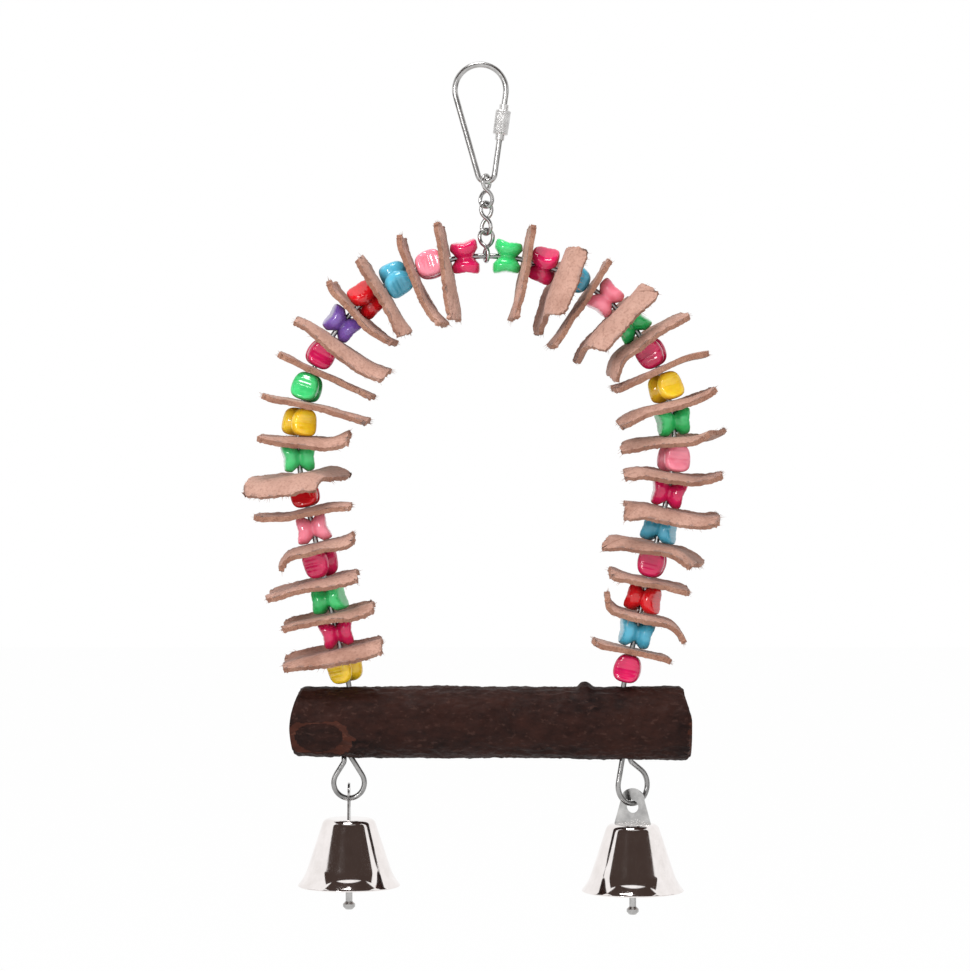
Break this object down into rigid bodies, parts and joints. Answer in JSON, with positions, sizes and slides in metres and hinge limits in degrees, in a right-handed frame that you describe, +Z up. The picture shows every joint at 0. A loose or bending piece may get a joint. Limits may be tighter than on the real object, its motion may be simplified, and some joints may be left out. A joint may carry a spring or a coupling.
{
  "type": "bird swing",
  "caption": "Bird swing with a bark perch on a wire arch of butterfly beads and leather chips, hung by chain and quick link, with two cone bells",
  "frame": {"origin": "the hang point: the inside top of the quick link, where a cage bar bears", "axes": "+Z up; X across the swing along the perch; +Y away from the viewer, through the arch"},
  "size_m": [0.1833, 0.0433, 0.3206],
  "materials": {
    "plated_steel": "bright zinc plated steel",
    "arch_steel": "drawn steel wire",
    "nickel": "polished nickel plate",
    "bark": "dark bark, rough",
    "leather": "undyed suede-backed leather with raw cut edges",
    "hot_pink_plastic": "glossy moulded plastic",
    "light_pink_plastic": "glossy moulded plastic",
    "green_plastic": "glossy moulded plastic",
    "blue_plastic": "glossy moulded plastic",
    "red_plastic": "glossy moulded plastic",
    "purple_plastic": "glossy moulded plastic",
    "yellow_plastic": "glossy moulded plastic"
  },
  "bodies": {
    "quick_link": {"quick_link": "plated_steel"},
    "nut": {"quick_link_nut": "plated_steel"},
    "upper_link": {"upper_chain_link": "plated_steel"},
    "middle_link": {"middle_chain_link": "plated_steel"},
    "lower_link": {"lower_chain_link": "plated_steel"},
    "swing": {"arch_wire": "arch_steel", "perch": "bark", "leather_chips_01": "leather", "leather_chips_02": "leather", "leather_chips_03": "leather", "leather_chips_04": "leather", "leather_chips_05": "leather", "leather_chips_06": "leather", "leather_chips_07": "leather", "leather_chips_08": "leather", "leather_chips_09": "leather", "leather_chips_10": "leather", "leather_chips_11": "leather", "leather_chips_12": "leather", "leather_chips_13": "leather", "leather_chips_14": "leather"},
    "left_bell": {"left_bell": "nickel", "left_bell_hanger": "nickel"},
    "left_clapper": {"left_bell_clapper": "plated_steel"},
    "right_bell": {"right_bell": "nickel", "right_bell_hanger": "nickel"},
    "right_clapper": {"right_bell_clapper": "plated_steel"},
    "left_bead_01": {"left_bead_01": "hot_pink_plastic"},
    "left_bead_02": {"left_bead_02": "light_pink_plastic"},
    "left_bead_03": {"left_bead_03": "blue_plastic"},
    "left_bead_04": {"left_bead_04": "red_plastic"},
    "left_bead_05": {"left_bead_05": "purple_plastic"},
    "left_bead_06": {"left_bead_06": "hot_pink_plastic"},
    "left_bead_07": {"left_bead_07": "green_plastic"},
    "left_bead_08": {"left_bead_08": "yellow_plastic"},
    "left_bead_09": {"left_bead_09": "green_plastic"},
    "left_bead_10": {"left_bead_10": "red_plastic"},
    "left_bead_11": {"left_bead_11": "light_pink_plastic"},
    "left_bead_12": {"left_bead_12": "hot_pink_plastic"},
    "left_bead_13": {"left_bead_13": "green_plastic"},
    "left_bead_14": {"left_bead_14": "hot_pink_plastic"},
    "left_bead_15": {"left_bead_15": "yellow_plastic"},
    "right_bead_01": {"right_bead_01": "green_plastic"},
    "right_bead_02": {"right_bead_02": "hot_pink_plastic"},
    "right_bead_03": {"right_bead_03": "blue_plastic"},
    "right_bead_04": {"right_bead_04": "light_pink_plastic"},
    "right_bead_05": {"right_bead_05": "green_plastic"},
    "right_bead_06": {"right_bead_06": "hot_pink_plastic"},
    "right_bead_07": {"right_bead_07": "yellow_plastic"},
    "right_bead_08": {"right_bead_08": "green_plastic"},
    "right_bead_09": {"right_bead_09": "light_pink_plastic"},
    "right_bead_10": {"right_bead_10": "hot_pink_plastic"},
    "right_bead_11": {"right_bead_11": "blue_plastic"},
    "right_bead_12": {"right_bead_12": "hot_pink_plastic"},
    "right_bead_13": {"right_bead_13": "red_plastic"},
    "right_bead_14": {"right_bead_14": "blue_plastic"},
    "right_bead_15": {"right_bead_15": "hot_pink_plastic"}
  },
  "joints": [
    {"name": "nut_travel", "type": "slide", "parent": "quick_link", "child": "nut", "axis": [-0.1364, 0, -0.9907], "range_m": [0, 0.0085]},
    {"name": "chain_on_quick_link", "type": "hinge", "parent": "quick_link", "child": "upper_link", "pos_m": [0.00218, 0, -0.04282], "axis": [1, 0, 0], "range_deg": [-30, 30]},
    {"name": "middle_on_upper_link", "type": "hinge", "parent": "upper_link", "child": "middle_link", "pos_m": [0.00218, 0, -0.05237], "axis": [-0.866, 0.5, 0], "range_deg": [-35, 35]},
    {"name": "lower_on_middle_link", "type": "hinge", "parent": "middle_link", "child": "lower_link", "pos_m": [0.00218, 0, -0.06257], "axis": [-0.6428, 0.766, 0], "range_deg": [-35, 35]},
    {"name": "swing_fore_and_aft", "type": "hinge", "parent": "lower_link", "child": "swing", "pos_m": [0.00218, 0, -0.07082], "axis": [1, 0, 0], "range_deg": [-45, 45]},
    {"name": "left_bell_swing", "type": "hinge", "parent": "swing", "child": "left_bell", "pos_m": [-0.04935, 0, -0.27441], "axis": [-1, 0, 0], "range_deg": [-60, 60]},
    {"name": "right_bell_swing", "type": "hinge", "parent": "swing", "child": "right_bell", "pos_m": [0.05729, 0.00252, -0.2767], "axis": [0.8192, 0.5736, 0], "range_deg": [-60, 60]},
    {"name": "left_clapper_swing", "type": "hinge", "parent": "left_bell", "child": "left_clapper", "pos_m": [-0.04935, 0, -0.28756], "axis": [-1, 0, 0], "range_deg": [-36, 36]},
    {"name": "right_clapper_swing", "type": "hinge", "parent": "right_bell", "child": "right_clapper", "pos_m": [0.05729, 0.00252, -0.28985], "axis": [0.342, 0.9397, 0], "range_deg": [-36, 36]},
    {"name": "left_bead_01_spin", "type": "hinge", "parent": "swing", "child": "left_bead_01", "pos_m": [-0.00591, 0, -0.07129], "axis": [-0.9934, 0, -0.1144], "continuous": true},
    {"name": "left_bead_02_spin", "type": "hinge", "parent": "swing", "child": "left_bead_02", "pos_m": [-0.01909, 0, -0.0741], "axis": [-0.9536, 0, -0.3011], "continuous": true},
    {"name": "left_bead_03_spin", "type": "hinge", "parent": "swing", "child": "left_bead_03", "pos_m": [-0.0315, 0, -0.07937], "axis": [-0.879, 0, -0.4768], "continuous": true},
    {"name": "left_bead_04_spin", "type": "hinge", "parent": "swing", "child": "left_bead_04", "pos_m": [-0.04268, 0, -0.0869], "axis": [-0.7724, 0, -0.6352], "continuous": true},
    {"name": "left_bead_05_spin", "type": "hinge", "parent": "swing", "child": "left_bead_05", "pos_m": [-0.05222, 0, -0.09641], "axis": [-0.6376, 0, -0.7703], "continuous": true},
    {"name": "left_bead_06_spin", "type": "hinge", "parent": "swing", "child": "left_bead_06", "pos_m": [-0.05979, 0, -0.10757], "axis": [-0.4796, 0, -0.8775], "continuous": true},
    {"name": "left_bead_07_spin", "type": "hinge", "parent": "swing", "child": "left_bead_07", "pos_m": [-0.0651, 0, -0.11996], "axis": [-0.3042, 0, -0.9526], "continuous": true},
    {"name": "left_bead_08_spin", "type": "hinge", "parent": "swing", "child": "left_bead_08", "pos_m": [-0.06795, 0, -0.13313], "axis": [-0.1176, 0, -0.9931], "continuous": true},
    {"name": "left_bead_09_spin", "type": "hinge", "parent": "swing", "child": "left_bead_09", "pos_m": [-0.06825, 0, -0.14661], "axis": [0.0732, 0, -0.9973], "continuous": true},
    {"name": "left_bead_10_spin", "type": "hinge", "parent": "swing", "child": "left_bead_10", "pos_m": [-0.06604, 0, -0.15991], "axis": [0.225, 0, -0.9744], "continuous": true},
    {"name": "left_bead_11_spin", "type": "hinge", "parent": "swing", "child": "left_bead_11", "pos_m": [-0.063, 0, -0.17306], "axis": [0.225, 0, -0.9744], "continuous": true},
    {"name": "left_bead_12_spin", "type": "hinge", "parent": "swing", "child": "left_bead_12", "pos_m": [-0.05996, 0, -0.18622], "axis": [0.225, 0, -0.9744], "continuous": true},
    {"name": "left_bead_13_spin", "type": "hinge", "parent": "swing", "child": "left_bead_13", "pos_m": [-0.05693, 0, -0.19937], "axis": [0.225, 0, -0.9744], "continuous": true},
    {"name": "left_bead_14_spin", "type": "hinge", "parent": "swing", "child": "left_bead_14", "pos_m": [-0.05389, 0, -0.21253], "axis": [0.225, 0, -0.9744], "continuous": true},
    {"name": "left_bead_15_spin", "type": "hinge", "parent": "swing", "child": "left_bead_15", "pos_m": [-0.05085, 0, -0.22568], "axis": [0.225, 0, -0.9744], "continuous": true},
    {"name": "right_bead_01_spin", "type": "hinge", "parent": "swing", "child": "right_bead_01", "pos_m": [0.01026, 0, -0.07129], "axis": [0.9934, 0, -0.1144], "continuous": true},
    {"name": "right_bead_02_spin", "type": "hinge", "parent": "swing", "child": "right_bead_02", "pos_m": [0.02344, 0, -0.0741], "axis": [0.9536, 0, -0.3011], "continuous": true},
    {"name": "right_bead_03_spin", "type": "hinge", "parent": "swing", "child": "right_bead_03", "pos_m": [0.03585, 0, -0.07937], "axis": [0.879, 0, -0.4768], "continuous": true},
    {"name": "right_bead_04_spin", "type": "hinge", "parent": "swing", "child": "right_bead_04", "pos_m": [0.04703, 0, -0.0869], "axis": [0.7724, 0, -0.6352], "continuous": true},
    {"name": "right_bead_05_spin", "type": "hinge", "parent": "swing", "child": "right_bead_05", "pos_m": [0.05658, 0, -0.09641], "axis": [0.6376, 0, -0.7703], "continuous": true},
    {"name": "right_bead_06_spin", "type": "hinge", "parent": "swing", "child": "right_bead_06", "pos_m": [0.06414, 0, -0.10757], "axis": [0.4796, 0, -0.8775], "continuous": true},
    {"name": "right_bead_07_spin", "type": "hinge", "parent": "swing", "child": "right_bead_07", "pos_m": [0.06945, 0, -0.11996], "axis": [0.3042, 0, -0.9526], "continuous": true},
    {"name": "right_bead_08_spin", "type": "hinge", "parent": "swing", "child": "right_bead_08", "pos_m": [0.0723, 0, -0.13313], "axis": [0.1176, 0, -0.9931], "continuous": true},
    {"name": "right_bead_09_spin", "type": "hinge", "parent": "swing", "child": "right_bead_09", "pos_m": [0.07261, 0, -0.14661], "axis": [-0.0732, 0, -0.9973], "continuous": true},
    {"name": "right_bead_10_spin", "type": "hinge", "parent": "swing", "child": "right_bead_10", "pos_m": [0.07039, 0, -0.15991], "axis": [-0.225, 0, -0.9744], "continuous": true},
    {"name": "right_bead_11_spin", "type": "hinge", "parent": "swing", "child": "right_bead_11", "pos_m": [0.06735, 0, -0.17306], "axis": [-0.225, 0, -0.9744], "continuous": true},
    {"name": "right_bead_12_spin", "type": "hinge", "parent": "swing", "child": "right_bead_12", "pos_m": [0.06432, 0, -0.18622], "axis": [-0.225, 0, -0.9744], "continuous": true},
    {"name": "right_bead_13_spin", "type": "hinge", "parent": "swing", "child": "right_bead_13", "pos_m": [0.06128, 0, -0.19937], "axis": [-0.225, 0, -0.9744], "continuous": true},
    {"name": "right_bead_14_spin", "type": "hinge", "parent": "swing", "child": "right_bead_14", "pos_m": [0.05824, 0, -0.21253], "axis": [-0.225, 0, -0.9744], "continuous": true},
    {"name": "right_bead_15_spin", "type": "hinge", "parent": "swing", "child": "right_bead_15", "pos_m": [0.0552, 0, -0.22568], "axis": [-0.225, 0, -0.9744], "continuous": true}
  ]
}
